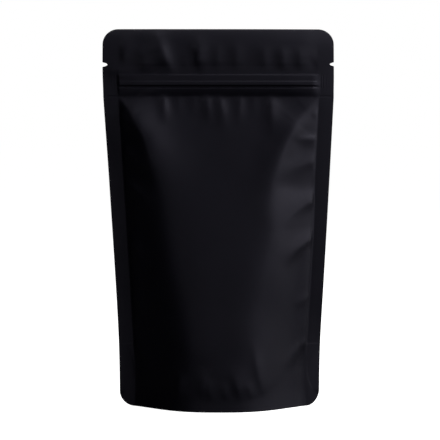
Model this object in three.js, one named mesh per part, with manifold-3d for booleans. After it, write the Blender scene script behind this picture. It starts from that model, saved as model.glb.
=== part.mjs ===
// A stand-up pouch of matt laminate film, filled and pressed shut.
// It is one welded piece: a flat header with a tear notch at each side, a press-to-close zip, two side seals,
// bulging front and back panels, and a bottom gusset opened out so that the pouch stands on its own.
// Millimetres. +Z is up, the front faces -Y, and the origin is on the floor under the middle of the pouch.
import * as THREE from 'three';
import { mergeVertices } from 'three/addons/utils/BufferGeometryUtils.js';
import Module from 'manifold-3d';

const wasm = await Module();
wasm.setup();

// The empty pouch, laid flat
const WIDTH = 130;
const HEIGHT = 211;
const GUSSET_FOLD = 35;
const SIDE_SEAL = 8.2;
const BOTTOM_SEAL = 5;
const CORNER_RADIUS = 8.6;
const SEAM_THICKNESS = 0.6;

const EDGE = WIDTH / 2;
const SEAL_LINE = EDGE - SIDE_SEAL;

// The tear notches
const NOTCH_Z = HEIGHT - 20;
const NOTCH_DEPTH = 2.6;
const NOTCH_HEIGHT = 2.3;

// The zip strip. Its relief on each face is [height above the floor, how far it stands out].
const ZIP_TOP = HEIGHT - 24;
const ZIP_FOOT = HEIGHT - 38;
const ZIP_RELIEF = [
  [ZIP_TOP, 0],
  [ZIP_TOP - 1, 0.45],
  [ZIP_TOP - 4, 0.5],
  [ZIP_TOP - 5.2, 0.95],
  [ZIP_TOP - 6.8, 0.9],
  [ZIP_TOP - 7.6, 0.4],
  [ZIP_TOP - 8.8, 0.7],
  [ZIP_TOP - 11.5, 0.4],
  [ZIP_FOOT, 0],
];
const ZIP_END_TAPER = 5;

// The filled pouch: how far each panel stands out at the base, and how far each edge has come in from the flat
// pouch's at the header, at the zip and at the base
const BASE_DEPTH = 26.5;
const HEADER_NARROWING = 0.5;
const ZIP_NARROWING = 0.25;
const BASE_NARROWING = 8.3;
const NARROWING_SLOPE = 0.058;
const NARROWING_KNEE = 0.55;

// The filled part has settled a little to the right of the header.
const SETTLE = 0.77;
const SETTLE_FROM = 190;
const SETTLE_AT = 40;

// A shoulder crease runs down and in from each end of the zip. Inset is its place at its foot, as a share of
// the half width, and length is how far below the zip that is.
const SHOULDER_LEFT = { inset: 0.36, length: 30 };
const SHOULDER_RIGHT = { inset: 0.47, length: 52 };
const SHOULDER_CURVE = 1.8;
const CREASE_SOFTNESS = 0.05;
const BELLY_SOFTNESS = 0.2;
const CROWN = 0.05;

// The lower section is round: 1 - |w| ^ square, all to the power flare, with w the share of the half width.
const ROUND_FROM = 118;
const ROUND_AT = 30;
const ROUND_SQUARE = 2.8;
const ROUND_FLARE = 1.6;

// The header's two lips, which only touch
const LIP_WALL = 0.5;
const LIP_BOW = 0.5;
const MOUTH_FLOOR = ZIP_TOP + 3;
const HEADER_LEAN = 1.2;

// The weld that joins the gusset to each panel, and the gusset's sag between the two panels
const GUSSET_CURVE = 2.7;
const GUSSET_SAG = 0.36;
const SKIRT_THICKNESS = 0.8;

// Folds start on a weld and fade out away from it. Rise is the height of a fold's crest, and steep and soft are
// its half widths on the side that falls away and on the other side.
// Side folds, by the height z of their outer end: reach inward, drop of the inner end, rise.
const SIDE_FOLDS_RIGHT = [
  { z: 150, reach: 9, drop: 1, rise: 0.7 },
  { z: 135, reach: 11, drop: 4, rise: 0.9 },
  { z: 121, reach: 27, drop: 0, rise: 1.5 },
  { z: 112, reach: 17, drop: 10, rise: 1.1 },
  { z: 93, reach: 15, drop: 12, rise: 1.1 },
  { z: 59, reach: 8, drop: 5, rise: 0.7 },
  { z: 37, reach: 20, drop: 17, rise: 1 },
];
const SIDE_FOLDS_LEFT = [
  { z: 158, reach: 12, drop: 9, rise: 0.8 },
  { z: 139, reach: 9, drop: 10, rise: 0.8 },
  { z: 122, reach: 9, drop: 0, rise: 0.8 },
  { z: 96, reach: 12, drop: 8, rise: 0.7 },
  { z: 37, reach: 20, drop: 17, rise: 1 },
];
const SIDE_FOLD_STEEP = 2.6;
const SIDE_FOLD_SOFT = 6;

// Upright folds, by their place u across the flat pouch: lean of the far end, length, rise
const FOLDS_UNDER_ZIP = [
  { u: -31, lean: 2, length: 15, rise: 0.9 },
  { u: -14, lean: 2, length: 12, rise: 0.6 },
  { u: 0, lean: 4, length: 15, rise: 0.8 },
  { u: 10.5, lean: 2, length: 13, rise: 0.6 },
  { u: 28.5, lean: 5, length: 17, rise: 1 },
];
const FOLDS_IN_HEADER = [
  { u: -27, lean: -6, length: 20, rise: 1 },
  { u: -11.4, lean: -2, length: 15, rise: 0.8 },
  { u: -1, lean: -1, length: 13, rise: 0.6 },
  { u: 9.4, lean: -1, length: 14, rise: 0.6 },
  { u: 25.7, lean: 0, length: 12, rise: 0.6 },
  { u: 36, lean: -1, length: 12, rise: 0.7 },
  { u: 46, lean: -2, length: 12, rise: 0.6 },
];
const FOLDS_OVER_BASE = [
  { u: -21, lean: 7, length: 17, rise: 0.7 },
  { u: -7, lean: 2, length: 13, rise: 0.6 },
  { u: 2, lean: 1, length: 13, rise: 0.6 },
  { u: 10, lean: -3, length: 16, rise: 0.7 },
  { u: 25, lean: -6, length: 26, rise: 1 },
];
const UPRIGHT_STEEP = 2.2;
const UPRIGHT_SOFT = 4.5;

// Facets. The rows of the body are [from height, to height, how many].
const COLUMN_STEP = 2.8;
const BODY_ROWS = [
  [ZIP_FOOT, 150, 6],
  [150, 30, 18],
  [30, 0, 7],
];
const HEADER_ROWS = 6;
const MOUTH_ROWS = 4;
const GUSSET_COLUMNS = 28;
const SHEET_STEPS = 4;
const ARC_STEPS = 8;

const clamp01 = (t) => Math.min(1, Math.max(0, t));
const mix = (a, b, t) => a + (b - a) * t;
const evenly = (from, to, steps) => Array.from({ length: steps + 1 }, (_, i) => mix(from, to, i / steps));
const softMin = (a, b, softness) => -softness * Math.log(Math.exp(-a / softness) + Math.exp(-b / softness));
const smooth = (from, to, x) => {
  const t = clamp01((x - from) / (to - from));
  return t * t * (3 - 2 * t);
};

// The value at a place of a profile of [place, value] pairs that are listed from the highest place down
function alongProfile(profile, place) {
  for (let i = 1; i < profile.length; i++) {
    const [high, atHigh] = profile[i - 1];
    const [low, atLow] = profile[i];
    if (place <= high && place >= low) return mix(atLow, atHigh, (place - low) / (high - low));
  }
  return 0;
}

// How far each side edge has come in at a height, because the bulging panels take up the film
function narrowing(z) {
  const below = Math.max(0, ZIP_FOOT - z);
  const atZip = HEADER_NARROWING + ZIP_NARROWING * smooth(ZIP_TOP, ZIP_FOOT, z);
  return atZip + softMin(NARROWING_SLOPE * below, BASE_NARROWING, NARROWING_KNEE);
}

// The place across the standing pouch of a point that is u across the flat one
function across(u, z) {
  const settled = SETTLE * (1 - clamp01((z - SETTLE_AT) / (SETTLE_FROM - SETTLE_AT)) ** 2);
  if (Math.abs(u) > SEAL_LINE) return settled + u - Math.sign(u) * narrowing(z);
  return settled + u * (1 - narrowing(z) / SEAL_LINE);
}

// The section of a panel at one height: 0 at the side seals and 1 in the middle
function sectionShape(u, z) {
  const w = Math.min(1, Math.abs(u) / SEAL_LINE);
  const shoulder = u < 0 ? SHOULDER_LEFT : SHOULDER_RIGHT;
  const below = Math.max(0, ZIP_FOOT - z);
  const inset = 0.01 + shoulder.inset * (1 - (1 - clamp01(below / shoulder.length)) ** SHOULDER_CURVE);
  const softness = mix(CREASE_SOFTNESS, BELLY_SOFTNESS, below / ZIP_FOOT);
  const flank = softMin(1, (1 - w) / inset, softness) / softMin(1, 1 / inset, softness);
  const creased = Math.max(0, flank) * (1 - CROWN * w * w);
  const round = (1 - w ** ROUND_SQUARE) ** ROUND_FLARE;
  return mix(creased, round, smooth(ROUND_FROM, ROUND_AT, z));
}

// A fold from its root on a weld to its tip
function fold(rootU, rootZ, tipU, tipZ, rise, steep, soft, steepSide) {
  return { rootU, rootZ, tipU, tipZ, rise, steep, soft, steepSide };
}

function sideFold(side, { z, reach, drop, rise }) {
  const rootU = side * SEAL_LINE;
  return fold(rootU, z, rootU - side * reach, z - drop, rise, SIDE_FOLD_STEEP, SIDE_FOLD_SOFT, side);
}

function uprightFold(rootZ, up, { u, lean, length, rise }) {
  return fold(u, rootZ, u + lean, rootZ + up * length, rise, UPRIGHT_STEEP, UPRIGHT_SOFT, up);
}

const BODY_FOLDS = [
  ...SIDE_FOLDS_RIGHT.map((size) => sideFold(1, size)),
  ...SIDE_FOLDS_LEFT.map((size) => sideFold(-1, size)),
  ...FOLDS_UNDER_ZIP.map((size) => uprightFold(ZIP_FOOT, -1, size)),
  ...FOLDS_OVER_BASE.map((size) => uprightFold(BOTTOM_SEAL, 1, size)),
];
const HEADER_FOLDS = FOLDS_IN_HEADER.map((size) => uprightFold(ZIP_TOP, 1, size));

// How much one fold lifts a point of the flat panel
function foldRise(u, z, { rootU, rootZ, tipU, tipZ, rise, steep, soft, steepSide }) {
  const alongU = tipU - rootU;
  const alongZ = tipZ - rootZ;
  const length = Math.hypot(alongU, alongZ);
  const along = ((u - rootU) * alongU + (z - rootZ) * alongZ) / length ** 2;
  if (along <= 0 || along >= 1) return 0;
  const off = ((z - rootZ) * alongU - (u - rootU) * alongZ) / length;
  const halfWidth = (off * steepSide > 0 ? steep : soft) * mix(0.6, 1.3, along);
  return rise * smooth(0, 0.2, along) * smooth(1, 0.3, along) * Math.exp(-((off / halfWidth) ** 2));
}

const sumOfFolds = (folds, u, z) => folds.reduce((sum, one) => sum + foldRise(u, z, one), 0);

// How far the outer face of a panel stands out from the middle plane, with u as seen from in front of that face
function panelDepth(u, z) {
  const inside = smooth(SEAL_LINE, SEAL_LINE - 2, Math.abs(u));
  const zipEnds = smooth(SEAL_LINE + 1, SEAL_LINE - ZIP_END_TAPER, Math.abs(u));
  const bulge = BASE_DEPTH * (1 - (Math.min(z, ZIP_FOOT) / ZIP_FOOT) ** 2) * sectionShape(u, z);
  const lip = (LIP_WALL / 2 + LIP_BOW * smooth(ZIP_TOP, HEIGHT, z)) * smooth(ZIP_FOOT, ZIP_TOP, z);
  const relief = inside * (lip + sumOfFolds(BODY_FOLDS, u, z)) + zipEnds * alongProfile(ZIP_RELIEF, z);
  return SEAM_THICKNESS / 2 + bulge + relief;
}

// The header leans back a little and its two lips wave together.
function middlePlane(u, z) {
  const inside = smooth(SEAL_LINE, SEAL_LINE - 6, Math.abs(u));
  const lean = HEADER_LEAN * smooth(ZIP_FOOT, HEIGHT, z) ** 2;
  return lean - inside * sumOfFolds(HEADER_FOLDS, u, z);
}

// A point at a depth under the outer face of a panel. Face is 1 for the front and -1 for the back,
// which is shaped as the front turned round.
function panelPoint(u, z, face, under = 0) {
  return [across(u, z), middlePlane(u, z) - face * (panelDepth(face * u, z) - under), z];
}

function solidOf(geometry) {
  geometry.deleteAttribute('normal');
  geometry.deleteAttribute('uv');
  const merged = mergeVertices(geometry, 1e-4);
  const vertProperties = new Float32Array(merged.attributes.position.array);
  const triVerts = new Uint32Array(merged.index.array);
  return new wasm.Manifold(new wasm.Mesh({ numProp: 3, vertProperties, triVerts }));
}

// A closed solid through rings that follow each other in +X. Each ring is a pair of lists of equally many points,
// both from the top down: its front and its back.
function loft(rings) {
  const half = rings[0][0].length;
  const count = 2 * half;
  const last = rings.length - 1;
  const at = (ring, point) => ring * count + (point % count);
  const index = [];
  const quad = (a, b, c, d) => index.push(a, b, c, a, c, d);
  for (let ring = 0; ring < last; ring++) {
    for (let point = 0; point < count; point++) {
      quad(at(ring, point), at(ring, point + 1), at(ring + 1, point + 1), at(ring + 1, point));
    }
  }
  for (let point = 0; point < half - 1; point++) {
    const opposite = count - 1 - point;
    quad(at(0, point), at(0, opposite), at(0, opposite - 1), at(0, point + 1));
    quad(at(last, point), at(last, point + 1), at(last, opposite - 1), at(last, opposite));
  }
  const points = rings.flatMap(([front, back]) => [...front, ...back.toReversed()]);
  const geometry = new THREE.BufferGeometry();
  geometry.setAttribute('position', new THREE.Float32BufferAttribute(points.flat(), 3));
  return solidOf(geometry.setIndex(index));
}

// The pouch without its gusset, mouth, round corners and notches
function panels() {
  const inner = evenly(-SEAL_LINE, SEAL_LINE, Math.round((2 * SEAL_LINE) / COLUMN_STEP));
  const rows = [
    ...evenly(HEIGHT, ZIP_TOP, HEADER_ROWS),
    ...ZIP_RELIEF.slice(1).map(([z]) => z),
    ...BODY_ROWS.flatMap(([from, to, count]) => evenly(from, to, count).slice(1)),
  ];
  const face = (u, side) => rows.map((z) => panelPoint(u, z, side));
  return loft([-EDGE, ...inner, EDGE].map((u) => [face(u, 1), face(u, -1)]));
}

// The height of the weld between gusset and panel: low in the middle and up at the gusset's fold at the side seals
const gussetWeld = (u) => BOTTOM_SEAL + (GUSSET_FOLD - BOTTOM_SEAL) * (Math.abs(u) / SEAL_LINE) ** GUSSET_CURVE;

// The space under the gusset, between the skirts of the two panels. The filling presses the middle of the gusset
// onto the floor, where the space has no height and the pouch rests on a flat patch.
function gussetSpace() {
  const end = SEAL_LINE - 1.6;
  const underFloor = -6;
  return loft(evenly(-end, end, GUSSET_COLUMNS).map((u) => {
    const weld = gussetWeld(u);
    const wall = (face) => [weld, weld / 2, 0, underFloor].map((z) => {
      const [x, y] = panelPoint(u, Math.max(0, z), face, SKIRT_THICKNESS);
      return [x, y, z];
    });
    const frontWall = wall(1);
    const backWall = wall(-1);
    const [x, frontY] = frontWall[0];
    const backY = backWall[0][1];
    const sag = (GUSSET_SAG * (backY - frontY)) / 2;
    const sheet = (fromMiddle) => {
      return [x, mix(frontY, backY, (1 + fromMiddle) / 2), weld - sag * (1 - fromMiddle ** 2)];
    };
    const steps = evenly(0.5, SHEET_STEPS - 0.5, SHEET_STEPS - 1).map((step) => step / SHEET_STEPS);
    return [
      [...steps.map((step) => sheet(-step)), ...frontWall],
      [...steps.map((step) => sheet(step)), ...backWall],
    ];
  }));
}

// The slit between the header's two lips
function mouth() {
  const end = SEAL_LINE - 1.5;
  const rows = evenly(HEIGHT + 1, MOUTH_FLOOR, MOUTH_ROWS);
  const lip = (u, face) => rows.map((z) => {
    const [x, y] = panelPoint(u, Math.min(z, HEIGHT), face, LIP_WALL);
    return [x, y, z];
  });
  return loft(evenly(-end, end, Math.round((2 * end) / COLUMN_STEP)).map((u) => [lip(u, 1), lip(u, -1)]));
}

// A prism through the pouch from front to back, from an outline in x and z
function cutter(shape) {
  const reach = 20;
  const geometry = new THREE.ExtrudeGeometry(shape, { depth: 2 * reach, bevelEnabled: false, curveSegments: ARC_STEPS });
  return solidOf(geometry.rotateX(Math.PI / 2).translate(0, reach, 0));
}

// What is cut off a square corner to round it. Side is 1 for the right, and end is 1 for the top.
function cornerCut(side, end) {
  const margin = 2;
  const cornerZ = end > 0 ? HEIGHT : 0;
  const cornerX = across(side * EDGE, cornerZ);
  const centreX = cornerX - side * CORNER_RADIUS;
  const centreZ = cornerZ - end * CORNER_RADIUS;
  const arc = evenly(0, Math.PI / 2, ARC_STEPS).map((angle) => new THREE.Vector2(
    centreX + side * CORNER_RADIUS * Math.cos(angle),
    centreZ + end * CORNER_RADIUS * Math.sin(angle),
  ));
  const outside = [
    [centreX, cornerZ + end * margin],
    [cornerX + side * margin, cornerZ + end * margin],
    [cornerX + side * margin, centreZ],
  ].map(([x, z]) => new THREE.Vector2(x, z));
  return cutter(new THREE.Shape([...arc, ...outside]));
}

function notchCut(side) {
  const shape = new THREE.Shape();
  shape.absellipse(across(side * EDGE, NOTCH_Z), NOTCH_Z, NOTCH_DEPTH, NOTCH_HEIGHT / 2, 0, 2 * Math.PI);
  return cutter(shape);
}

function pouch() {
  const corners = [1, -1].flatMap((side) => [cornerCut(side, 1), cornerCut(side, -1)]);
  const cuts = [gussetSpace(), mouth(), notchCut(1), notchCut(-1), ...corners];
  const solid = cuts.reduce((rest, cut) => rest.subtract(cut), panels());
  const { vertProperties, triVerts } = solid.getMesh();
  const geometry = new THREE.BufferGeometry();
  geometry.setAttribute('position', new THREE.Float32BufferAttribute(vertProperties, 3));
  geometry.setIndex(Array.from(triVerts));
  geometry.computeVertexNormals();
  const film = new THREE.MeshStandardMaterial({ color: 0x141417, roughness: 0.5, metalness: 0 });
  const mesh = new THREE.Mesh(geometry, film);
  mesh.name = 'pouch';
  return mesh;
}

const group = new THREE.Group();
group.add(pouch());

export default group;
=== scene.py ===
"""A filled stand-up pouch of matt black laminate film, standing on its opened gusset.

Sizes are millimetres until they become Blender objects. +Z is up and the front panel faces -Y. A point of a
panel is named by its place on the empty pouch laid flat: u across it from the middle, and z up it from the
bottom edge. The panels share a middle plane, and each stands out from it by its own depth. The back panel is
the front one turned round, with its own folds, so its left is what lies to the left as seen from behind.
"""
import math

import bmesh
import bpy
import numpy as np
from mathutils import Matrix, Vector

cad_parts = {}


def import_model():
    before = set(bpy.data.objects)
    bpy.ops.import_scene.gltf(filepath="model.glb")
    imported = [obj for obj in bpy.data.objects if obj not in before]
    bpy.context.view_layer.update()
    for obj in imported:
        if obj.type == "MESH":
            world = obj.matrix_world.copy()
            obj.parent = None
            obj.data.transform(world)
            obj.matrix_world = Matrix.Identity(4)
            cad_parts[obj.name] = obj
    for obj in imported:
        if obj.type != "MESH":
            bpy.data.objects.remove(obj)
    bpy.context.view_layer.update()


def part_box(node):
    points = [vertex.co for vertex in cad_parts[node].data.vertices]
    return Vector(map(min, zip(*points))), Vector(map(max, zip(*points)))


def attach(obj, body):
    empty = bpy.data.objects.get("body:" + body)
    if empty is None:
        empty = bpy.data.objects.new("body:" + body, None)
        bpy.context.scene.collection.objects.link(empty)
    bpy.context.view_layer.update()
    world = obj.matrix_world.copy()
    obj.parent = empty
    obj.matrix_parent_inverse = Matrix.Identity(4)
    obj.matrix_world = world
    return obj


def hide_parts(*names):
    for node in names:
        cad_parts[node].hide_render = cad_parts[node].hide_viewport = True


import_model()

MM = 0.001
low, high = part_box("pouch")

# The empty pouch, laid flat
HEADER_NARROWING = 0.5
WIDTH = (high.x - low.x) / MM + 2 * HEADER_NARROWING
HEIGHT = (high.z - low.z) / MM
GUSSET_FOLD = 35.0
SIDE_SEAL = 8.2
BOTTOM_SEAL = 5.0
CORNER_RADIUS = 8.6
SEAM_THICKNESS = 0.5
FILM = 0.3
EDGE = WIDTH / 2
SEAL_LINE = EDGE - SIDE_SEAL

# The zip strip
ZIP_TOP = HEIGHT - 24
ZIP_FOOT = HEIGHT - 38

# The tear notches: how far each lies above this height, its depth and its own height
NOTCH_Z = HEIGHT - 20
LEFT_NOTCH = (0.0, 2.8, 2.5)
RIGHT_NOTCH = (0.3, 2.3, 2.1)
NOTCH_CURVE = 0.8

# The round corners draw in the film above the first of these heights and below the second
TOP_CORNER_FOOT = NOTCH_Z + 2.5
BOTTOM_CORNER_TOP = 16.0

# Below, a span is a pair of places: where a change starts, and where it is complete.

# How the side edges come in, how far the filled pouch has settled to the right, and how much further out the
# film beside the lower right seal lies
ZIP_NARROWING = 0.25
BASE_NARROWING = 8.3
NARROWING_SLOPE = 0.058
NARROWING_KNEE = 0.55
SETTLE = 0.77
SETTLE_FROM = 190.0
SETTLE_AT = 40.0
SEAL_DRAW = 0.9
SEAL_DRAW_REACH = 7.0
SEAL_DRAW_SPAN = (132.0, 100.0)

# The bulge of a panel. A shoulder crease is the share of the half width that it comes in, the height that it
# takes for that, and how early on the way down it does so.
BASE_DEPTH = 26.5
SHOULDER_LEFT = (0.4, 75.0, 2.2)
SHOULDER_RIGHT = (0.49, 58.0, 1.8)
LEAST_INSET = 0.01
APEX_TURN = 0.1
APEX_SPAN = (121.5, 101.5)
CREASE_SOFTNESS = 0.08
BELLY_SOFTNESS = 0.25
SOFTENING_LEFT = 0.45
SOFTENING_RIGHT = 0.75
CROWN = 0.05
ROUND_SPAN = (118.0, 30.0)
ROUND_SQUARE = 2.8
ROUND_FLARE = 1.6
FOOT_EASE_LEFT = 1.5
FOOT_EASE_RIGHT = 7.0
FOOT_EASE_SPAN = (46.0, 28.0)

# The lips over the zip, and the mouth between them
LIP_WALL = 0.25
LIP_BOW = 0.15
LIP_EASE = 9.0
MOUTH_FLOOR = ZIP_TOP + 3

# The middle plane: the header's lean, the right side's curl towards the top, how the seals sweep back, and
# how far the right one falls back at its foot
HEADER_LEAN = 5.4
LEAN_CURVE = 3
CURL = 3.6
CURL_REACH = 1.5 * EDGE
CURL_SPAN = (165.0, HEIGHT)
SWEEP_FROM = 50.0
SWEEP_TOP = 1.1
SWEEP_FOOT = 2.4
SWEEP_SPAN = (36.0, 90.0)
SWEEP_AT_LIP = 0.25
SWEEP_LIP_SPAN = (183.0, 206.0)
SWEEP_LEFT = 2.0
SWEEP_LEFT_SPAN = (165.0, 130.0)
SWEEP_LEFT_AT_FOOT = 0.6
SEAL_CUP = 0.5
SEAL_CUP_OVER_FOOT = 0.35
LEFT_FOOT_SPAN = (34.0, 64.0)
FOOT_FALL = 3.2
FOOT_FALL_FROM = 50.0
FOOT_FALL_CURVE = 1.3
FOOT_FALL_SPAN = (GUSSET_FOLD + 34, GUSSET_FOLD - 12)

# The gusset, its weld's step in the panels, and the skirts' flare at the bottom edge
GUSSET_CURVE = 2.7
GUSSET_SAG = 0.36
GUSSET_LOWEST = 0.05
WELD_STEP = 0.12
WELD_STEP_SPAN = (-2.0, 3.0)
WELD_STEP_TOP_SPAN = (ZIP_FOOT, ZIP_FOOT - 10)
SKIRT_FLARE = 0.6
SKIRT_FLARE_FROM = 13.0

# How far inside the seal line the panels' and the header's folds reach their full rise
FOLD_EASE = 2.0
HEADER_FOLD_EASE = 3.5

# The film's bead beside the lower side seals
BEAD = 0.9
BEAD_WIDTH = 3.0
BEAD_REACH = 5.0
BEAD_FOOT_SPAN = (GUSSET_FOLD - 14, GUSSET_FOLD + 6)
BEAD_TOP_SPAN = (102.0, 84.0)

# The zip's relief, as places below the top edge and how far it stands out, and how it ends at each seal
ZIP_RELIEF = (
    (20.8, 0), (24.2, 0.35), (25.1, 0.4), (26.0, 1.1), (27.0, 1.2), (28.8, 1.24), (29.7, 1.85), (31.4, 1.85),
    (32.0, 0.9), (32.4, 0.9), (33.1, 1.55), (33.5, 1.55), (35.4, 1.05), (37.6, 0.15), (38.8, 0),
)
ZIP_END_LEFT = 1.2
ZIP_END_RIGHT = 4.0
ZIP_END_OVERRUN = 0.3
ZIP_END_RISE = 0.6
ZIP_END_SPAN = (38.0, 56.0)

# The relief of the side seals. The gusset's film is welded in below its fold.
SEAL_RELIEF_SPAN = (-0.2, 0.3)
GUSSET_STEP = 0.07
GUSSET_STEP_SPAN = (GUSSET_FOLD + 0.3, GUSSET_FOLD - 0.3)
GUSSET_STEP_EASE = (-4.0, 0.3)

# The half moon that is punched out of the gusset's film in each seal: its middle and half sizes
MOON_Z = 21.0
MOON_WIDTH = 8.0
MOON_HEIGHT = 13.5
MOON_RIM_SPAN = (1.06, 0.94)
MOON_PRESS = 0.2
MOON_CURL = 0.7

# The crease across each seal at the zip's foot
SEAL_CREASE = 0.12
SEAL_CREASE_Z = ZIP_FOOT + 0.3
SEAL_CREASE_WIDTH = 0.5
SEAL_CREASE_SPAN = (SIDE_SEAL, SIDE_SEAL - 3)

# The upright marks where the zip's ends are crushed in the seals
CRUSH = 0.06
CRUSH_PITCH = 1.4
CRUSH_SPAN = (4.4, 3.0)
CRUSH_FOOT_SPAN = (ZIP_FOOT + 4, ZIP_FOOT + 6)
CRUSH_TOP_SPAN = (ZIP_TOP - 1, ZIP_TOP - 3)

# The film mesh: the ends of its stretches, its steps from the top edge down and from the middle out, and how
# close two points lie that are one
NOTCH_REACH = 2.2
ZIP_REACH = 1.2
SHOULDER_END = 148.0
GUSSET_FOLD_REACH = 1.0
BOTTOM_EDGE_REACH = 1.5
SEAL_STRETCH = (SEAL_LINE - 1.5, SEAL_LINE + 4.4)
LIP_STEP = 0.95
NOTCH_STEP = 0.24
HEADER_STEP = 0.5
ZIP_STEP = 0.32
SHOULDER_STEP = 0.85
PANEL_STEP = 1.05
GUSSET_FOLD_STEP = 0.25
SKIRT_STEP = 0.9
BOTTOM_EDGE_STEP = 0.3
SEAL_STEP = 0.34
CORNER_STEPS = 10
SKIRT_POINTS = 14
GUSSET_POINTS = 32
MOUTH_POINTS = 9
SEALED_MARGIN = 1e-6
MERGE = 0.002


def share(start, end, x):
    """How far x has gone from the start to the end, from 0 to 1."""
    return np.clip((x - start) / (end - start), 0, 1)


def smooth(start, end, x):
    t = share(start, end, x)
    return t * t * (3 - 2 * t)


def levelling(t):
    """A rise from 0 to 1 that starts steep and ends level."""
    return t * (3 - t * t) / 2


def hump(t):
    """A rise from 0 to 1 at the halfway point, and down to 0 again."""
    return 4 * t * (1 - t)


def mix(a, b, t):
    return a + (b - a) * t


def soft_min(a, b, softness):
    return -softness * np.log(np.exp(-a / softness) + np.exp(-b / softness))


def by_side(u, left, right):
    """The value for the side that u is on."""
    return np.where(u < 0, left, right)


# ---------------------------------------------------------------- the form of the filled pouch

def narrowing(z):
    """How far each side edge has come in at a height, because the bulging panels take up the film."""
    below = np.maximum(0, ZIP_FOOT - z)
    at_zip = HEADER_NARROWING + ZIP_NARROWING * smooth(ZIP_TOP, ZIP_FOOT, z)
    return at_zip + soft_min(NARROWING_SLOPE * below, BASE_NARROWING, NARROWING_KNEE)


def across(u, z):
    """The place across the standing pouch of a point that is u across the flat one."""
    settled = SETTLE * (1 - share(SETTLE_AT, SETTLE_FROM, z) ** 2)
    seal = u - np.sign(u) * narrowing(z)
    place = np.where(np.abs(u) > SEAL_LINE, seal, u * (1 - narrowing(z) / SEAL_LINE))
    inward = np.maximum(0, SEAL_LINE - u)
    near_right_seal = smooth(EDGE, SEAL_LINE, u) * np.exp(-(inward / SEAL_DRAW_REACH) ** 2)
    return settled + place + SEAL_DRAW * near_right_seal * smooth(*SEAL_DRAW_SPAN, z)


def section_shape(u, z):
    """The section of a panel at one height: 0 at the side seals and 1 in the middle."""
    w = np.minimum(1, np.abs(u) / SEAL_LINE)
    most, length, early = (by_side(u, *pair) for pair in zip(SHOULDER_LEFT, SHOULDER_RIGHT))
    below = np.maximum(0, ZIP_FOOT - z)
    inset = LEAST_INSET + most * (1 - (1 - share(0, length, below)) ** early)
    inset = inset - by_side(u, 0, APEX_TURN) * smooth(*APEX_SPAN, z)
    softening = by_side(u, SOFTENING_LEFT, SOFTENING_RIGHT)
    softness = mix(CREASE_SOFTNESS, BELLY_SOFTNESS, (below / ZIP_FOOT) ** softening)
    flank = soft_min(1, (1 - w) / inset, softness) / soft_min(1, 1 / inset, softness)
    creased = np.maximum(0, flank) * (1 - CROWN * w * w)
    rounded = (1 - w ** ROUND_SQUARE) ** ROUND_FLARE
    return mix(creased, rounded, smooth(*ROUND_SPAN, z))


def panel_bulge(u, z):
    """How far the filling presses a panel out. Near its foot it eases down to the side seals."""
    profile = 1 - (np.minimum(z, ZIP_FOOT) / ZIP_FOOT) ** 2
    ease = smooth(0, 1, (SEAL_LINE - np.abs(u)) / by_side(u, FOOT_EASE_LEFT, FOOT_EASE_RIGHT))
    return BASE_DEPTH * profile * section_shape(u, z) * mix(1, ease, smooth(*FOOT_EASE_SPAN, z))


def skirt_flare(z):
    """How far the bottom edge of a panel stands out, because the gusset spreads it."""
    return SKIRT_FLARE * np.maximum(0, 1 - z / SKIRT_FLARE_FROM) ** 2


def gusset_weld(u):
    """The height at which the gusset leaves the panels."""
    return BOTTOM_SEAL + (GUSSET_FOLD - BOTTOM_SEAL) * np.minimum(1, np.abs(u) / SEAL_LINE) ** GUSSET_CURVE


# ---------------------------------------------------------------- folds

def curved(path, steps=8):
    """A smooth curve through three points; a path of two stays straight."""
    if len(path) < 3:
        return path
    t = np.linspace(0, 1, steps)[:, None]
    a, b, c = (np.array(point, float) for point in path)
    control = 2 * b - (a + c) / 2
    return (1 - t) ** 2 * a + 2 * t * (1 - t) * control + t ** 2 * c


def along_path(u, z, path):
    """For each point: its place along a path from 0 to 1, and its distance to the path's left."""
    points = np.array(path, float)
    lengths = np.hypot(*np.diff(points, axis=0).T)
    starts = np.concatenate([[0], np.cumsum(lengths)])
    best = np.full(u.shape, np.inf)
    place = np.zeros(u.shape)
    offset = np.zeros(u.shape)
    for (au, az), (bu, bz), length, start in zip(points, points[1:], lengths, starts):
        du, dz = (bu - au) / length, (bz - az) / length
        t = np.clip((u - au) * du + (z - az) * dz, 0, length)
        distance = np.hypot(u - au - t * du, z - az - t * dz)
        side = np.sign((z - az) * du - (u - au) * dz)
        nearer = distance < best
        best = np.where(nearer, distance, best)
        place = np.where(nearer, (start + t) / starts[-1], place)
        offset = np.where(nearer, side * distance, offset)
    return place, offset


def fold(u, z, path, rise, left, right, swell, fade, flare=1.5, sharp=1.6):
    """The lift of a fold along a path from its root to its tip.

    Left and right are its half widths as one walks that way, and they grow to flare times as much at the tip.
    It swells up over the path's first share, swell, and fades from its share fade to the tip.
    """
    place, offset = along_path(u, z, curved(path))
    half = np.where(offset > 0, left, right) * mix(1, flare, place)
    envelope = smooth(0, swell, place) * smooth(1, fade, place)
    return rise * envelope * np.exp(-(np.abs(offset) / half) ** sharp)


def dent(u, z, centre, size, rise, turn):
    """A soft oval swelling, or a hollow where rise is negative."""
    c, s = math.cos(math.radians(turn)), math.sin(math.radians(turn))
    du, dz = u - centre[0], z - centre[1]
    a = (du * c + dz * s) / size[0]
    b = (dz * c - du * s) / size[1]
    return rise * np.exp(-(a * a + b * b))


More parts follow.
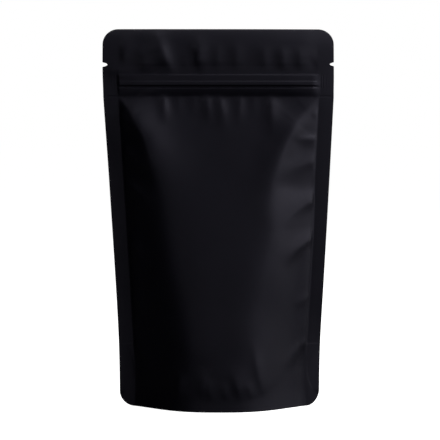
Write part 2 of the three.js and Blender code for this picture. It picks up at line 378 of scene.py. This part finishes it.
# Each fold is its path from root to tip, its rise, and its half widths to the left and to the right as one
# walks that way. Side folds start at a seal, the folds under the zip go down, and the others go up.
RIGHT_SIDE_FOLDS = (
    (((57.4, 165.5), (52.5, 161)), 0.4, 1.4, 1.4),
    (((57.4, 149.8), (52, 149.8), (43.5, 149.0)), 0.85, 3.4, 1.6),
    (((57.4, 136.6), (48, 135), (36, 128)), 0.7, 3.4, 4.0),
    (((57.4, 114.8), (49, 112.2), (36.5, 101.2)), 1.6, 3.6, 6.5),
    (((57.4, 94.2), (50, 90.4), (39.5, 78.6)), 1.3, 2.7, 3.8),
    (((57.2, 62.2), (47, 55.6)), 0.4, 2.0, 2.6),
    (((57.2, 36.6), (50.5, 32), (42, 20)), 0.6, 2.6, 2.6),
)
LEFT_SIDE_FOLDS = (
    (((-57.4, 160.5), (-50, 157), (-41, 150)), 1.6, 3.6, 2.6),
    (((-57.4, 143), (-50, 138), (-38, 128)), 2.0, 5.0, 3.0),
    (((-57.4, 124), (-50, 121), (-38, 110)), 1.7, 4.0, 2.8),
    (((-57.4, 91), (-51, 86), (-42, 76)), 1.1, 4.5, 3.0),
    (((-57.4, 64), (-51, 60), (-42, 51)), 1.0, 5.0, 3.0),
    (((-57.2, 36.5), (-50.5, 30.5), (-40, 21)), 0.6, 3.0, 2.6),
)
UNDER_ZIP_FOLDS = (
    (((-31.8, 175.5), (-30.0, 156)), 1.1, 2.8, 2.4),
    (((-22.8, 175.5), (-22.6, 160)), 0.4, 2.8, 2.2),
    (((-14.0, 175.5), (-14.0, 160)), 0.4, 2.8, 2.4),
    (((-7.6, 175.5), (-4.6, 155)), 1.3, 3.2, 2.6),
    (((-0.2, 175.5), (4.4, 150)), 1.3, 3.4, 3.2),
    (((12.2, 175.5), (11.2, 154)), 0.8, 2.4, 3.2),
    (((19.8, 175.5), (20.2, 158)), 0.25, 3.0, 2.2),
    (((28.8, 175.5), (31.2, 147)), 1.4, 4.2, 2.6),
)
OVER_BASE_FOLDS = (
    (((-29.0, 3), (-25.0, 24)), 0.9, 3.0, 3.2),
    (((-12.5, 6), (-9.0, 26)), 0.6, 3.4, 2.4),
    (((-6.7, 5.5), (-6.2, 20)), 0.5, 2.2, 2.4),
    (((3.2, 6), (4.0, 18)), 0.5, 2.4, 2.0),
    (((13.8, 5.5), (7.4, 26)), 0.85, 2.4, 4.6),
    (((22.0, 6), (17.0, 18)), 0.35, 2.0, 3.0),
    (((30.0, 5), (25.4, 21), (21.5, 42)), 0.8, 2.6, 3.6),
)
HEADER_FOLDS = (
    (((-52.4, 188), (-52.4, 210)), 0.9, 2.6, 3.4),
    (((-41.6, 184.6), (-41.2, 204)), 1.5, 4.4, 7.5),
    (((-23.0, 184.4), (-31.0, 196.5), (-36.8, 215)), 1.9, 4.0, 3.6),
    (((-18.0, 186), (-18.2, 200)), 0.35, 2.2, 3.2),
    (((-10.4, 185), (-11.6, 209)), 1.9, 2.4, 5.0),
    (((-0.5, 186), (-0.4, 206)), 0.7, 2.8, 3.2),
    (((9.9, 186), (10.0, 206)), 0.8, 3.0, 3.4),
    (((26.1, 186), (25.8, 204)), 0.75, 3.0, 3.2),
    (((36.0, 186), (36.0, 203)), 1.15, 2.6, 4.6),
    (((46.0, 186), (46.0, 203)), 0.9, 2.4, 5.0),
    (((58.5, 187.0), (48.5, 195.5)), -0.35, 4.5, 2.0),
)
BACK_RIGHT_FOLDS = (
    (((57.4, 157), (50, 152.5), (41, 145)), 0.9, 2.8, 3.8),
    (((57.4, 131), (48, 126.5), (37, 116)), 1.2, 3.4, 5.0),
    (((57.4, 99), (50, 94.5), (41, 85)), 0.9, 3.0, 4.2),
    (((57.2, 66), (48, 60)), 0.5, 2.2, 3.0),
    (((57.2, 36.6), (50.5, 31), (41, 21)), 0.6, 2.6, 2.8),
)
BACK_LEFT_FOLDS = (
    (((-57.4, 150), (-50, 148), (-41, 141)), 0.9, 3.8, 2.8),
    (((-57.4, 119), (-49, 114.5), (-38, 104)), 1.1, 4.6, 3.4),
    (((-57.4, 82), (-50, 78), (-42, 69)), 0.8, 4.0, 3.0),
    (((-57.2, 36.6), (-50, 30.5), (-40, 22)), 0.6, 2.8, 2.6),
)
BACK_UNDER_ZIP_FOLDS = (
    (((-36.4, 175.5), (-33.8, 154)), 1.3, 3.4, 3.6),
    (((-24.0, 175.5), (-23.0, 159)), 0.6, 2.8, 2.4),
    (((-12.5, 175.5), (-14.6, 155)), 0.9, 3.0, 2.8),
    (((3.4, 175.5), (2.2, 157)), 0.7, 3.0, 2.6),
    (((16.8, 175.5), (19.6, 153)), 1.1, 2.8, 3.2),
    (((31.5, 175.5), (29.0, 155)), 0.8, 3.2, 2.8),
)
BACK_OVER_BASE_FOLDS = (
    (((-30.0, 6), (-25.0, 21), (-20.0, 38)), 0.7, 3.4, 3.4),
    (((-14.5, 5.5), (-10.2, 24)), 0.6, 2.8, 3.2),
    (((-2.4, 5.5), (-3.0, 19)), 0.4, 2.6, 2.6),
    (((9.6, 5.5), (7.4, 22)), 0.5, 2.6, 2.8),
    (((24.0, 5.5), (21.6, 28)), 0.6, 3.2, 2.6),
)

# Over which first share of their paths the folds of a set swell up, and from which share they fade
RIGHT_SIDE_RUN = {"swell": 0.08, "fade": 0.35}
LEFT_SIDE_RUN = {"swell": 0.08, "fade": 0.2}
UNDER_ZIP_RUN = {"swell": 0.25, "fade": 0.35}
UPWARD_RUN = {"swell": 0.4, "fade": 0.5}

# Where each shoulder crease stands proud of its panel, from the zip down, and the slope beside the left one
LEFT_RIDGE = {
    "path": ((-56.5, 171), (-44.0, 155), (-36.0, 112)),
    "rise": 3.2, "left": 11, "right": 6.5, "swell": 0.2, "fade": 0.45, "flare": 1.5, "sharp": 1.7,
}
LEFT_APRON = {
    "path": ((-52.5, 171), (-42.0, 150), (-28.5, 106)),
    "rise": 1.25, "left": 13, "right": 9, "swell": 0.2, "fade": 0.45, "flare": 1.5, "sharp": 2,
}
RIGHT_RIDGE = {
    "path": ((57.0, 169), (37.2, 145), (28.0, 98)),
    "rise": 2.7, "left": 5.2, "right": 7.5, "swell": 0.3, "fade": 0.5, "flare": 1.6, "sharp": 1.9,
}
BACK_LEFT_RIDGE = {
    "path": ((-56.5, 171), (-44.0, 154), (-36.0, 120)),
    "rise": 2.6, "left": 11, "right": 3.6, "swell": 0.2, "fade": 0.6, "flare": 1.6, "sharp": 1.5,
}
BACK_RIGHT_RIDGE = {
    "path": ((56.5, 171), (43.0, 155), (34.0, 126)),
    "rise": 2.4, "left": 4, "right": 10, "swell": 0.2, "fade": 0.6, "flare": 1.6, "sharp": 1.5,
}

# The sharp valley that runs from the right crease's lowest point to the seal
APEX_VALLEY = {
    "path": ((28.0, 123.4), (44.0, 123.0), (60.5, 122.3)),
    "rise": -0.68, "left": 5.0, "right": 3.4, "swell": 0.45, "fade": 0.82, "flare": 1.5, "sharp": 1.7,
}

# The film that stands up over the left end of the zip
ZIP_END_RIDGE = {
    "path": ((-66.0, 188.2), (-38.0, 188.6)),
    "rise": 0.9, "left": 2.8, "right": 4.0, "swell": 0.28, "fade": 0.28,
}

# Broad soft swellings of the panel over the contents: centre, half sizes, rise and turn in degrees
FRONT_SWELLS = (
    ((43.5, 164.5), (7, 6), -0.6, 0),
    ((-12, 140), (15, 9), -0.35, 20), ((14, 134), (13, 10), 0.3, -15), ((-4, 104), (18, 11), 0.3, 0),
    ((-24, 84), (11, 16), -0.3, 15), ((20, 78), (12, 15), 0.35, -10), ((0, 58), (20, 10), -0.3, 5),
    ((33, 52), (9, 13), -0.35, 0), ((-14, 34), (14, 9), 0.3, -10), ((12, 30), (11, 8), -0.25, 10),
)
BACK_SWELLS = (
    ((-16, 138), (14, 10), 0.35, -20), ((10, 128), (16, 9), -0.35, 10), ((22, 92), (12, 15), 0.35, 0),
    ((-12, 82), (16, 12), -0.3, 15), ((4, 54), (18, 11), 0.3, -5), ((-30, 46), (10, 14), -0.3, 0),
)


def fold_set(u, z, folds, run):
    return sum(fold(u, z, *each, **run) for each in folds)


def ridges(u, z, *shapes):
    return sum(fold(u, z, **shape) for shape in shapes)


def swells(u, z, places):
    return sum(dent(u, z, *place) for place in places)


def front_folds(u, z):
    creases = ridges(u, z, LEFT_RIDGE, LEFT_APRON, RIGHT_RIDGE, APEX_VALLEY)
    right = fold_set(u, z, RIGHT_SIDE_FOLDS, RIGHT_SIDE_RUN)
    left = fold_set(u, z, LEFT_SIDE_FOLDS, LEFT_SIDE_RUN)
    top = fold_set(u, z, UNDER_ZIP_FOLDS, UNDER_ZIP_RUN)
    bottom = fold_set(u, z, OVER_BASE_FOLDS, UPWARD_RUN)
    return creases + (right + left) + (top + bottom) + swells(u, z, FRONT_SWELLS)


def back_folds(u, z):
    creases = ridges(u, z, BACK_LEFT_RIDGE, BACK_RIGHT_RIDGE)
    right = fold_set(u, z, BACK_RIGHT_FOLDS, RIGHT_SIDE_RUN)
    left = fold_set(u, z, BACK_LEFT_FOLDS, LEFT_SIDE_RUN)
    top = fold_set(u, z, BACK_UNDER_ZIP_FOLDS, UNDER_ZIP_RUN)
    bottom = fold_set(u, z, BACK_OVER_BASE_FOLDS, UPWARD_RUN)
    return creases + (right + left) + (top + bottom) + swells(u, z, BACK_SWELLS)


# ---------------------------------------------------------------- zip and seals

def zip_relief(u, z):
    """The zip's relief. It is lower towards its ends, and stops a little way into the seals."""
    out = np.abs(u)
    reach = by_side(u, ZIP_END_LEFT, ZIP_END_RIGHT)
    ends = smooth(SEAL_LINE + ZIP_END_OVERRUN * reach, SEAL_LINE - reach, out)
    ends = ends * mix(1, ZIP_END_RISE, smooth(*ZIP_END_SPAN, out))
    places, heights = zip(*ZIP_RELIEF)
    return ends * np.interp(HEIGHT - z, places, heights, left=0, right=0)


def seal_bead(u, z):
    """Where the film stands up beside the lower side seals before it drops to them."""
    inward = SEAL_LINE - np.abs(u)
    beyond = np.maximum(0, inward - BEAD_WIDTH)
    along = smooth(*BEAD_FOOT_SPAN, z) * smooth(*BEAD_TOP_SPAN, z)
    climb = levelling(share(0, BEAD_WIDTH, inward))
    return BEAD * climb * np.exp(-(beyond / BEAD_REACH) ** 2) * along


def half_moon(inward, z):
    """The half moon in a seal, pressed in, with its film curled out towards the edge."""
    radius = np.hypot(inward / MOON_WIDTH, (z - MOON_Z) / MOON_HEIGHT)
    moon = smooth(*MOON_RIM_SPAN, radius) * smooth(MOON_Z + MOON_HEIGHT, MOON_Z, z)
    curl = moon * share(MOON_WIDTH, 0, inward) ** 2
    return MOON_CURL * curl - MOON_PRESS * moon


def seal_crease(outward, z):
    line = np.exp(-((z - SEAL_CREASE_Z) / SEAL_CREASE_WIDTH) ** 2)
    return -SEAL_CREASE * line * smooth(*SEAL_CREASE_SPAN, outward)


def zip_crush(outward, z):
    marks = np.cos(2 * math.pi * outward / CRUSH_PITCH) * smooth(*CRUSH_SPAN, outward)
    return CRUSH * marks * smooth(*CRUSH_FOOT_SPAN, z) * smooth(*CRUSH_TOP_SPAN, z)


def seal_relief(u, z):
    """The relief of the side seals: the gusset's film, its half moon, a crease and the zip's crush marks."""
    outward = np.abs(u) - SEAL_LINE
    gusset = GUSSET_STEP * smooth(*GUSSET_STEP_SPAN, z) * smooth(*GUSSET_STEP_EASE, outward)
    marks = half_moon(EDGE - np.abs(u), z) + seal_crease(outward, z) + zip_crush(outward, z)
    return gusset + smooth(*SEAL_RELIEF_SPAN, outward) * marks


# ---------------------------------------------------------------- the panels' faces

def panel_depth(u, z, folds):
    """How far the outer face of a panel stands out from the middle plane."""
    out = np.abs(u)
    lip = (LIP_WALL / 2 + LIP_BOW * smooth(ZIP_TOP, HEIGHT, z)) * smooth(ZIP_FOOT, ZIP_TOP, z)
    lip = lip * smooth(SEAL_LINE, SEAL_LINE - LIP_EASE, out)
    above_weld = WELD_STEP * smooth(*WELD_STEP_SPAN, z - gusset_weld(u)) * smooth(*WELD_STEP_TOP_SPAN, z)
    inside = smooth(SEAL_LINE, SEAL_LINE - FOLD_EASE, out) * (folds(u, z) + above_weld + skirt_flare(z))
    relief = zip_relief(u, z) + seal_relief(u, z) + seal_bead(u, z)
    return SEAM_THICKNESS / 2 + panel_bulge(u, z) + lip + inside + relief


def right_sweep(u, z):
    """How far the right seal turns back: most at its foot, and hardly at the lip."""
    most = mix(SWEEP_FOOT, SWEEP_TOP, smooth(*SWEEP_SPAN, z))
    return share(SWEEP_FROM, EDGE, u) ** 2 * most * mix(1, SWEEP_AT_LIP, smooth(*SWEEP_LIP_SPAN, z))


def left_sweep(u, z):
    """How far the left seal turns back below the shoulder, with a cup across its width near the foot."""
    out = share(SWEEP_FROM, EDGE, -u)
    over_foot = smooth(*LEFT_FOOT_SPAN, z)
    turn = SWEEP_LEFT * smooth(0, 1, out) * mix(SWEEP_LEFT_AT_FOOT, 1, over_foot)
    cup = SEAL_CUP * hump(out) * mix(1, SEAL_CUP_OVER_FOOT, over_foot)
    return (turn + cup) * smooth(*SWEEP_LEFT_SPAN, z)


def middle_plane(u, z):
    """How far back the plane between the panels lies."""
    lean = HEADER_LEAN * share(ZIP_TOP, HEIGHT, z) ** LEAN_CURVE
    curl = CURL * smooth(0, CURL_REACH, u) * smooth(*CURL_SPAN, z)
    sweep = right_sweep(u, z) + left_sweep(u, z)
    fall = FOOT_FALL * share(FOOT_FALL_FROM, EDGE, u) ** FOOT_FALL_CURVE * smooth(*FOOT_FALL_SPAN, z)
    inside = smooth(SEAL_LINE, SEAL_LINE - HEADER_FOLD_EASE, np.abs(u))
    forward = fold(u, z, **ZIP_END_RIDGE) + inside * fold_set(u, z, HEADER_FOLDS, UPWARD_RUN)
    return lean + curl + sweep + fall - forward


def face_points(u, z, side, under=0.0):
    """Points at a depth under the outer face of the front (side 1) or back (side -1) panel."""
    folds = front_folds if side > 0 else back_folds
    depth = panel_depth(side * u, z, folds) - under
    return np.stack([across(u, z), middle_plane(u, z) - side * depth, z], axis=-1)


# ---------------------------------------------------------------- the film mesh

def stretches(*parts):
    """Places from one end to the other, given as (from, to, step) stretches that follow each other."""
    places = [parts[0][0]]
    for start, end, step in parts:
        count = max(1, round(abs(end - start) / step))
        places += [mix(start, end, i / count) for i in range(1, count + 1)]
    return np.array(places)


def columns():
    """Places across the flat pouch, from its left edge to its right one."""
    fine_from, fine_to = SEAL_STRETCH
    half = stretches((0, fine_from, PANEL_STEP), (fine_from, fine_to, SEAL_STEP))
    corner_start = EDGE - CORNER_RADIUS
    first = math.asin((half[-1] - corner_start) / CORNER_RADIUS)
    arc = corner_start + CORNER_RADIUS * np.sin(np.linspace(first, math.pi / 2, CORNER_STEPS + 1)[1:])
    half = np.concatenate([half, arc])
    return np.concatenate([-half[:0:-1], half])


def rows():
    """Places up the flat pouch, from its top edge down to its bottom one."""
    ends = (
        HEIGHT, NOTCH_Z + NOTCH_REACH, NOTCH_Z - NOTCH_REACH, ZIP_TOP, ZIP_FOOT - ZIP_REACH, SHOULDER_END,
        GUSSET_FOLD + GUSSET_FOLD_REACH, GUSSET_FOLD - GUSSET_FOLD_REACH, BOTTOM_EDGE_REACH, 0,
    )
    steps = (
        LIP_STEP, NOTCH_STEP, HEADER_STEP, ZIP_STEP, SHOULDER_STEP,
        PANEL_STEP, GUSSET_FOLD_STEP, SKIRT_STEP, BOTTOM_EDGE_STEP,
    )
    return stretches(*zip(ends, ends[1:], steps))


def to_outline(u, z):
    """Draws the square grid of a panel in to its round corners and its tear notches."""
    past = np.clip((np.abs(u) - (EDGE - CORNER_RADIUS)) / CORNER_RADIUS, 0, 1)
    drop = CORNER_RADIUS * (1 - np.sqrt(1 - past ** 2))
    z = z - drop * share(TOP_CORNER_FOOT, HEIGHT, z) + drop * share(BOTTOM_CORNER_TOP, 0, z)
    lift, depth, height = (by_side(u, *pair) for pair in zip(LEFT_NOTCH, RIGHT_NOTCH))
    opening = np.clip(1 - ((z - NOTCH_Z - lift) / (height / 2)) ** 2, 0, 1) ** NOTCH_CURVE
    u = u - np.sign(u) * depth * opening * share(SEAL_LINE, EDGE, np.abs(u))
    return u, z


def inner_points(u, z, side, thickness, sealed):
    """Points of a panel's inner face, which lies on the middle plane in the side seals."""
    points = face_points(u, z, side, thickness)
    points[..., 1] = np.where(sealed[:, None], middle_plane(u, z), points[..., 1])
    return points


def gusset_sheet(front_rim, back_rim):
    """The gusset between its welds to the two panels. It sags in the middle to just above the floor."""
    steps = np.linspace(-1, 1, GUSSET_POINTS)[1:-1]
    sheet = mix(front_rim, back_rim, (steps[None, :, None] + 1) / 2)
    half_depth = (back_rim[..., 1] - front_rim[..., 1]) / 2
    sag = GUSSET_SAG * half_depth * (1 - steps ** 2)
    sheet[..., 2] = np.maximum(GUSSET_LOWEST, sheet[..., 2] - sag)
    return sheet


def under_gusset(foot_u, foot_z, sealed):
    """Up the inside of the front skirt, across the gusset and down the inside of the back skirt."""
    skirt_z = mix(foot_z, gusset_weld(foot_u), np.linspace(0, 1, SKIRT_POINTS))
    skirt_u = np.repeat(foot_u, SKIRT_POINTS, axis=1)
    front = inner_points(skirt_u, skirt_z, 1, FILM, sealed)
    back = inner_points(skirt_u, skirt_z, -1, FILM, sealed)
    return front, gusset_sheet(front[:, -1:], back[:, -1:]), back[:, ::-1]


def in_mouth(head_u, head_z, sealed):
    """Down the inside of the back lip and up the inside of the front one. They meet at the mouth's floor."""
    mouth_z = mix(head_z, np.minimum(MOUTH_FLOOR, head_z), np.linspace(0, 1, MOUTH_POINTS))
    mouth_u = np.repeat(head_u, MOUTH_POINTS, axis=1)
    front = inner_points(mouth_u, mouth_z, 1, LIP_WALL, sealed)
    back = inner_points(mouth_u, mouth_z, -1, LIP_WALL, sealed)
    floor_y = (front[:, -1, 1] + back[:, -1, 1]) / 2
    front[:, -1, 1] = floor_y
    back[:, -1, 1] = floor_y
    return back, front[:, ::-1]


def ring_faces(index, sealed, hidden):
    """Faces between neighbouring rings, apart from those that would lie hidden inside the side seals."""
    count = len(hidden)
    faces = []
    for i in range(len(index) - 1):
        in_seal = sealed[i] and sealed[i + 1]
        for j in range(count):
            k = (j + 1) % count
            if not (in_seal and hidden[j] and hidden[k]):
                faces.append((index[i][j], index[i][k], index[i + 1][k], index[i + 1][j]))
    return faces


def edge_faces(front, back, at_left):
    """Faces that close a side seal's outer edge, between the front's and the back's points."""
    pairs = zip(front, front[1:], back, back[1:])
    return [(f0, b0, b1, f1) if at_left else (f0, f1, b1, b0) for f0, f1, b0, b1 in pairs]


def pouch_mesh():
    """The points and faces of the film: a closed ring of points round the pouch for each place across it."""
    places = columns()
    u, z = to_outline(*np.meshgrid(places, rows(), indexing="ij"))
    sealed = np.abs(places) > SEAL_LINE - SEALED_MARGIN
    front = face_points(u, z, 1)
    front_skirt, sheet, back_skirt = under_gusset(u[:, -1:], z[:, -1:], sealed)
    back = face_points(u, z, -1)[:, ::-1]
    back_lip, front_lip = in_mouth(u[:, :1], z[:, :1], sealed)

    blocks = (front, front_skirt, sheet, back_skirt, back, back_lip, front_lip)
    points = np.concatenate(blocks, axis=1)
    hidden = [block is not front and block is not back for block in blocks for _ in range(block.shape[1])]
    across_count, ring_count = points.shape[:2]
    index = np.arange(across_count * ring_count).reshape(across_count, ring_count).tolist()
    faces = ring_faces(index, sealed, hidden)

    row_count = front.shape[1]
    back_end = ring_count - back_lip.shape[1] - front_lip.shape[1]
    for ring, at_left in ((index[0], True), (index[-1], False)):
        faces += edge_faces(ring[:row_count], ring[back_end - row_count:back_end][::-1], at_left)
    return points.reshape(-1, 3), faces


def mesh_object(name, points, faces, material):
    mesh = bpy.data.meshes.new(name)
    mesh.from_pydata((points * MM).tolist(), [], faces)
    piece = bpy.data.objects.new(name, mesh)
    bpy.context.scene.collection.objects.link(piece)
    work = bmesh.new()
    work.from_mesh(mesh)
    bmesh.ops.remove_doubles(work, verts=work.verts, dist=MERGE * MM)
    bmesh.ops.recalc_face_normals(work, faces=work.faces)
    work.to_mesh(mesh)
    work.free()
    mesh.shade_smooth()
    mesh.materials.append(material)
    return piece


# ---------------------------------------------------------------- materials

# The film's colours, and the noise that varies it. A scale is how many features there are to the metre.
FILM_DEEP = (0.0003, 0.0001, 0.0036)
FILM_PALE = (0.0007, 0.0005, 0.0046)
# A painted highlight: the paler colour laid on the film along its sharpest convex creases
FILM_CREST_HIGHLIGHT = (0.006, 0.006, 0.009)
FILM_SHEEN_TINT = (0.83, 0.80, 1, 1)
FILM_SPECULAR = 0.5
CLOUDS = {"scale": 38, "detail": 4}
CLOUD_RANGE = (0.35, 0.65)
# The Pointiness range over which that painted crest highlight comes in
CREST_HIGHLIGHT_RANGE = (0.54, 0.66)
SHEEN = {"scale": 120, "detail": 3}
SHEEN_RANGE = (0.3, 0.7)
ROUGHNESS_RANGE = (0.46, 0.5)
WAVES = {"scale": 85, "detail": 2}
WAVE_HEIGHT = 0.00006
GRAIN = {"scale": 2400, "detail": 1}
GRAIN_HEIGHT = 0.000004

WHITE = (1, 1, 1, 1)
FLOOR_GLOW = 1.0
FLOOR_SEEN = (0.8, 0.8, 0.8, 1)
FLOOR_DIM = (0.06, 0.06, 0.06, 1)


def noise(tree, scale, detail):
    """Noise over the object's own coordinates, which are metres."""
    texture = tree.nodes.new("ShaderNodeTexNoise")
    texture.inputs["Scale"].default_value = scale
    texture.inputs["Detail"].default_value = detail
    place = tree.nodes.new("ShaderNodeTexCoord")
    tree.links.new(place.outputs["Object"], texture.inputs["Vector"])
    return texture.outputs["Fac"]


def between(tree, value, value_range, result_range=(0, 1)):
    """A value's range, stretched to another one."""
    scale = tree.nodes.new("ShaderNodeMapRange")
    ends = ("From Min", "From Max", "To Min", "To Max")
    for end, number in zip(ends, (*value_range, *result_range)):
        scale.inputs[end].default_value = number
    tree.links.new(value, scale.inputs["Value"])
    return scale.outputs["Result"]


def blend(tree, share_of_second, first, second):
    """A colour between two, each a constant or another node's output. Sockets 6 and 7 take the colours."""
    node = tree.nodes.new("ShaderNodeMix")
    node.data_type = "RGBA"
    tree.links.new(share_of_second, node.inputs["Factor"])
    for socket, colour in ((node.inputs[6], first), (node.inputs[7], second)):
        if isinstance(colour, tuple):
            socket.default_value = (*colour, 1)
        else:
            tree.links.new(colour, socket)
    return node.outputs[2]


def bump(tree, height, distance, under=None):
    """A fine relief of a height in metres, over another one if that is given."""
    node = tree.nodes.new("ShaderNodeBump")
    node.inputs["Strength"].default_value = 1
    node.inputs["Distance"].default_value = distance
    tree.links.new(height, node.inputs["Height"])
    if under is not None:
        tree.links.new(under, node.inputs["Normal"])
    return node.outputs["Normal"]


def film_material():
    """Matt laminate: a cloudy black with a fine grain and a sheen that wanders a little. Along its sharpest
    convex creases a painted highlight makes it paler."""
    material = bpy.data.materials.new("matt_black_film")
    material.use_nodes = True
    tree = material.node_tree
    shader = tree.nodes["Principled BSDF"]
    colour = blend(tree, between(tree, noise(tree, **CLOUDS), CLOUD_RANGE), FILM_DEEP, FILM_PALE)
    # Painted highlight: the colour is made paler where Pointiness finds sharp convex creases
    crest_highlight = tree.nodes.new("ShaderNodeNewGeometry").outputs["Pointiness"]
    colour = blend(tree, between(tree, crest_highlight, CREST_HIGHLIGHT_RANGE), colour, FILM_CREST_HIGHLIGHT)
    tree.links.new(colour, shader.inputs["Base Color"])
    sheen = between(tree, noise(tree, **SHEEN), SHEEN_RANGE, ROUGHNESS_RANGE)
    tree.links.new(sheen, shader.inputs["Roughness"])
    waves = bump(tree, noise(tree, **WAVES), WAVE_HEIGHT)
    grain = bump(tree, noise(tree, **GRAIN), GRAIN_HEIGHT, waves)
    tree.links.new(grain, shader.inputs["Normal"])
    shader.inputs["Specular Tint"].default_value = FILM_SHEEN_TINT
    shader.inputs["Specular IOR Level"].default_value = FILM_SPECULAR
    return material


def stage_material():
    """A pale floor that is bright to look at and throws little light back at the pouch."""
    material = bpy.data.materials.new("pale_floor")
    material.use_nodes = True
    nodes, links = material.node_tree.nodes, material.node_tree.links
    nodes.clear()
    glow = nodes.new("ShaderNodeEmission")
    glow.inputs["Color"].default_value = WHITE
    glow.inputs["Strength"].default_value = FLOOR_GLOW
    matt = nodes.new("ShaderNodeBsdfDiffuse")
    matt.inputs["Color"].default_value = FLOOR_SEEN
    dim = nodes.new("ShaderNodeBsdfDiffuse")
    dim.inputs["Color"].default_value = FLOOR_DIM
    seen = nodes.new("ShaderNodeAddShader")
    rays = nodes.new("ShaderNodeLightPath")
    choice = nodes.new("ShaderNodeMixShader")
    output = nodes.new("ShaderNodeOutputMaterial")
    links.new(glow.outputs[0], seen.inputs[0])
    links.new(matt.outputs[0], seen.inputs[1])
    links.new(rays.outputs["Is Camera Ray"], choice.inputs[0])
    links.new(dim.outputs[0], choice.inputs[1])
    links.new(seen.outputs[0], choice.inputs[2])
    links.new(choice.outputs[0], output.inputs["Surface"])
    return material


# ---------------------------------------------------------------- the studio

# Places, distances and sizes in metres. The lens and the camera's sensor are in millimetres.
CAMERA_DISTANCE = 1.1
CAMERA_HEIGHT = 0.15
CAMERA_LENS = 161.2
CAMERA_SENSOR = 36
NEAREST_SEEN = 0.01
AIM = Vector((0.00096, 0, 0.1044))
LIT_POINT = Vector((0, 0, 0.1))
FLOOR_REACH = 30
SKY_LIGHT = 0.002
SKY_SEEN = 1.0

# Name, azimuth, elevation, size, watts and distance
SOFTBOXES = (
    ("front_left", -25, 5, 0.5, 0.41, 1.6),
    ("front", 0, 5, 0.5, 0.34, 1.6),
    ("front_right", 25, 5, 0.5, 0.44, 1.6),
    ("right_front", 50, 5, 0.5, 1.22, 1.6),
    ("right", 75, 5, 0.5, 1.05, 1.6),
    ("right_side", 100, 5, 0.5, 1.45, 1.6),
    ("front_raised", 0, 25, 0.5, 0.21, 1.6),
    ("right_behind", 125, 25, 0.5, 4.9, 1.6),
    ("high_left", -45, 45, 0.5, 0.84, 1.6),
    ("high_front", 25, 45, 0.5, 0.38, 1.6),
    ("high_right", 125, 45, 0.5, 6.6, 1.6),
    ("right_near", 75, 15, 0.2, 0.1, 0.5),
    ("high_near", 75, 45, 0.2, 0.95, 0.5),
    ("top", 0, 88, 0.65, 2.2, 1.6),
)


def look_at(thing, target):
    thing.rotation_euler = (target - thing.location).to_track_quat("-Z", "Y").to_euler()


def camera():
    data = bpy.data.cameras.new("camera")
    data.lens = CAMERA_LENS
    data.sensor_width = CAMERA_SENSOR
    data.clip_start = NEAREST_SEEN
    thing = bpy.data.objects.new("camera", data)
    thing.location = (AIM.x, -CAMERA_DISTANCE, CAMERA_HEIGHT)
    look_at(thing, AIM)
    bpy.context.scene.collection.objects.link(thing)
    bpy.context.scene.camera = thing


def softbox(name, azimuth, elevation, size, power, distance):
    """A square soft light that faces the pouch. Azimuth 0 is in front and 90 to the right."""
    data = bpy.data.lights.new(name, "AREA")
    data.shape = "SQUARE"
    data.size = size
    data.energy = power
    thing = bpy.data.objects.new(name, data)
    turn, climb = math.radians(azimuth), math.radians(elevation)
    away = Vector((math.sin(turn) * math.cos(climb), -math.cos(turn) * math.cos(climb), math.sin(climb)))
    thing.location = LIT_POINT + distance * away
    look_at(thing, LIT_POINT)
    bpy.context.scene.collection.objects.link(thing)


def floor():
    mesh = bpy.data.meshes.new("floor")
    corners = [(x * FLOOR_REACH, y * FLOOR_REACH, 0) for x, y in ((-1, -1), (1, -1), (1, 1), (-1, 1))]
    mesh.from_pydata(corners, [], [(0, 1, 2, 3)])
    piece = bpy.data.objects.new("floor", mesh)
    bpy.context.scene.collection.objects.link(piece)
    mesh.materials.append(stage_material())


def world():
    """A sky that is white to look at and gives hardly any light. Sockets 2 and 3 take the two strengths."""
    sky = bpy.data.worlds.new("studio")
    bpy.context.scene.world = sky
    sky.use_nodes = True
    nodes, links = sky.node_tree.nodes, sky.node_tree.links
    background = nodes["Background"]
    background.inputs["Color"].default_value = WHITE
    rays = nodes.new("ShaderNodeLightPath")
    strength = nodes.new("ShaderNodeMix")
    strength.inputs[2].default_value = SKY_LIGHT
    strength.inputs[3].default_value = SKY_SEEN
    links.new(rays.outputs["Is Camera Ray"], strength.inputs[0])
    links.new(strength.outputs[0], background.inputs["Strength"])


pouch = mesh_object("pouch_film", *pouch_mesh(), film_material())
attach(pouch, "root")
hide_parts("pouch")

camera()
world()
floor()
for box in SOFTBOXES:
    softbox(*box)
bpy.context.scene.view_settings.view_transform = "Standard"
